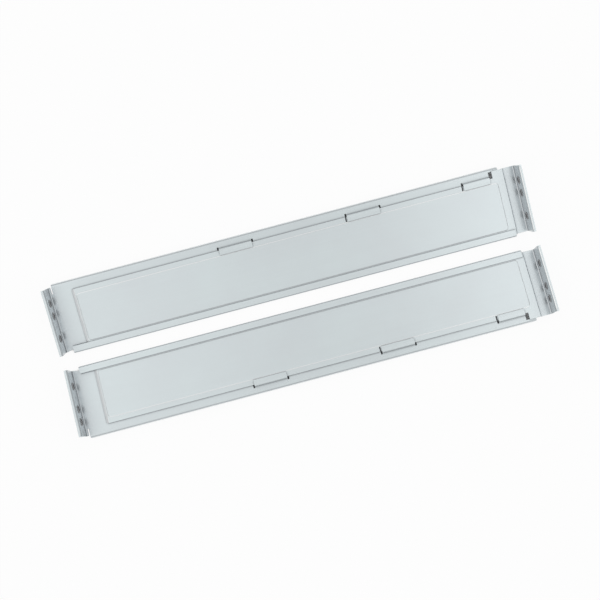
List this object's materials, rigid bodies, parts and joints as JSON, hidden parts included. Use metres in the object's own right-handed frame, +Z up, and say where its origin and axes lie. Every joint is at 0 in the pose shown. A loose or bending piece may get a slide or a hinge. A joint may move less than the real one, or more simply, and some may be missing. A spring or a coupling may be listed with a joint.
{
  "type": "rack rails",
  "caption": "Mirrored pair of telescoping L-shaped rails of folded zinc-plated sheet, with flanges that screw to rack posts and a ledge that carries equipment.",
  "frame": {"origin": "middle of the pair, on the surface that it lies on", "axes": "+X along the rails from the front flanges to the rear flanges, +Y towards the left rail, +Z up"},
  "size_m": [0.593, 0.1956, 0.037],
  "materials": {
    "sheet_zinc": "satin",
    "nut_zinc": "satin"
  },
  "bodies": {
    "rail_bodies": {"left_rail_body": "sheet_zinc", "left_front_nuts": "nut_zinc", "right_rail_body": "sheet_zinc", "right_front_nuts": "nut_zinc"},
    "left_extension": {"left_rail_extension": "sheet_zinc", "left_rear_nuts": "nut_zinc"},
    "right_extension": {"right_rail_extension": "sheet_zinc", "right_rear_nuts": "nut_zinc"}
  },
  "joints": [
    {"name": "left_slide", "type": "slide", "parent": "rail_bodies", "child": "left_extension", "axis": [1, 0, 0], "range_m": [0, 0.25]},
    {"name": "right_slide", "type": "slide", "parent": "rail_bodies", "child": "right_extension", "axis": [1, 0, 0], "range_m": [0, 0.25]}
  ]
}
